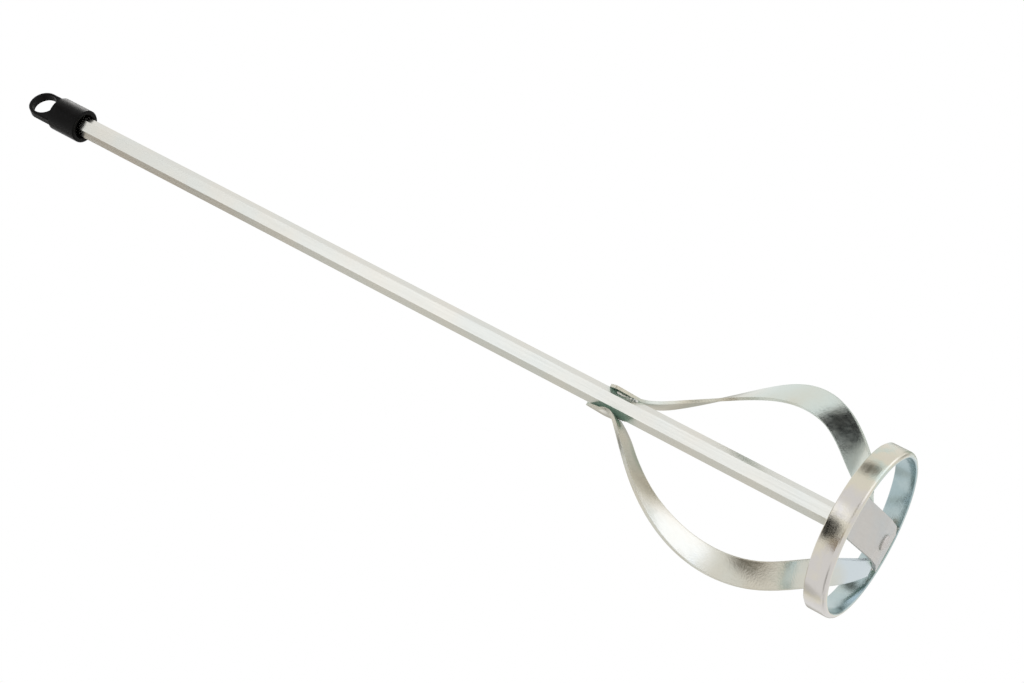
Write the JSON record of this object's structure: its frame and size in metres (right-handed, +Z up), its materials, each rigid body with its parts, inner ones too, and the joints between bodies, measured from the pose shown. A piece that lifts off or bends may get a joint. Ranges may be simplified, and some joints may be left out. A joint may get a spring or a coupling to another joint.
{
  "type": "mixing paddle",
  "caption": "Mixing paddle for a drill chuck: hexagonal shaft with a black push-on hanging cap, twisted strip blades, and a strip ring with a dished strap across its foot.",
  "frame": {"origin": "on the shaft's axis, level with the underside of the peened end below the strap", "axes": "+Z up the shaft to the hanging cap, +Y to the shaft corner that carries the upper blade's tab, +X to the side that faces the picture's camera"},
  "size_m": [0.0848, 0.104, 0.5563],
  "materials": {
    "zinc_plated_steel": "bright zinc plating, lightly streaked",
    "weld_metal": "lumpy plated weld",
    "black_plastic": "satin moulding"
  },
  "bodies": {
    "paddle": {"hex_shaft": "zinc_plated_steel", "foot_ring": "zinc_plated_steel", "cross_strap": "zinc_plated_steel", "blade_upper": "zinc_plated_steel", "blade_lower": "zinc_plated_steel", "tab_weld_upper_near": "weld_metal", "tab_weld_lower_far": "weld_metal", "foot_weld_upper": "weld_metal", "foot_weld_lower": "weld_metal", "strap_weld_near": "weld_metal", "strap_weld_far": "weld_metal", "ring_seam_weld": "weld_metal"},
    "cap": {"cap_sleeve": "black_plastic", "hang_cap": "black_plastic"}
  },
  "joints": [
    {"name": "cap_pull", "type": "slide", "parent": "paddle", "child": "cap", "axis": [0, 0, 1], "range_m": [0, 0.0155]}
  ]
}
